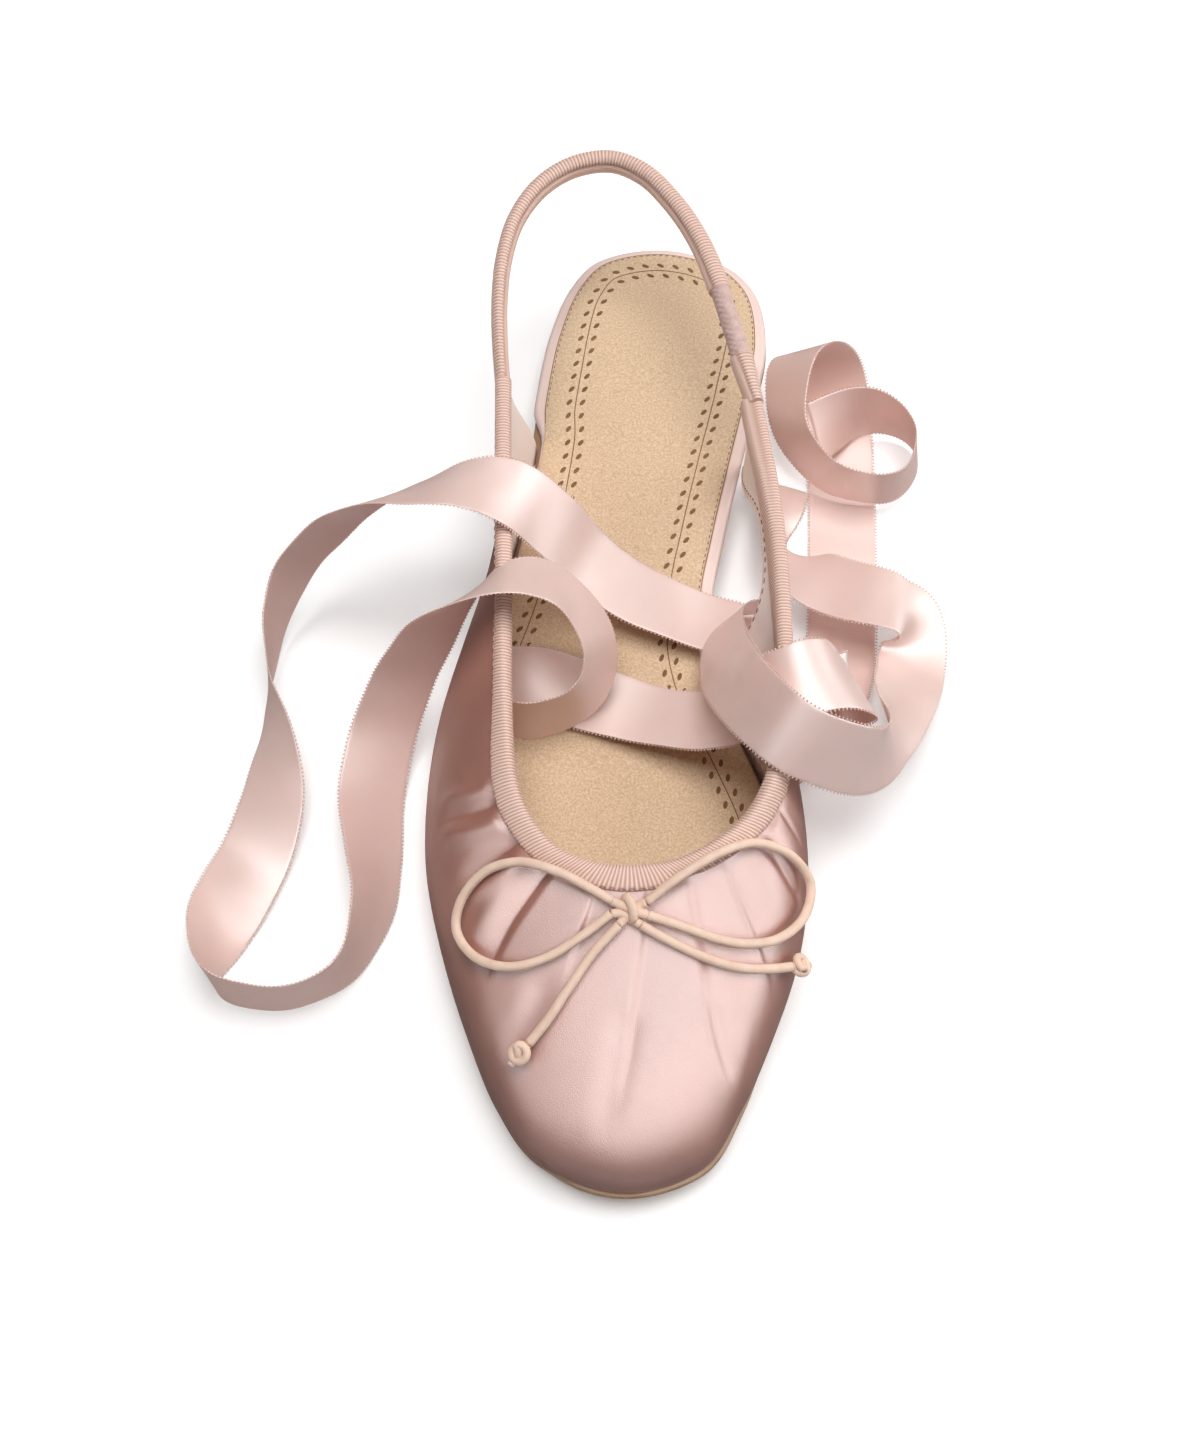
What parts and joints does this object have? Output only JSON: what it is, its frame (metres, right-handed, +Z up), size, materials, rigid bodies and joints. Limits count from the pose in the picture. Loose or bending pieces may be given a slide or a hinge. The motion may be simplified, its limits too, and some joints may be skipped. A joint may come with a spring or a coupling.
{
  "type": "ballet flat",
  "caption": "Slingback ballet flat for the right foot: gathered satin upper, bound collar running into a heel strap, cord bow, long ribbon ties and a low leather sole.",
  "frame": {"origin": "on the floor under the middle of the shoe, with the bow and the ribbons left out", "axes": "+Z up, +Y from toe to heel, +X towards the big-toe side"},
  "size_m": [0.1738, 0.248, 0.0555],
  "materials": {
    "sole_leather": "smooth",
    "satin": "satin",
    "sock": "matt",
    "grosgrain": "ribbed",
    "elastic": "knitted",
    "cord": "corded",
    "ribbon": "satin"
  },
  "bodies": {
    "root": {"outsole": "sole_leather", "heel": "sole_leather", "insole_board": "satin", "insole": "sock", "upper": "satin", "collar_binding": "grosgrain", "strap_lateral": "grosgrain", "strap_elastic": "elastic", "strap_medial": "grosgrain", "bow_loop_lateral": "cord", "bow_loop_medial": "cord", "bow_end_lateral": "cord", "bow_end_medial": "cord", "bow_knot": "cord", "end_knot_lateral": "cord", "end_knot_medial": "cord", "ribbon_long": "ribbon", "ribbon_curl": "ribbon", "ribbon_medial": "ribbon"}
  },
  "joints": []
}
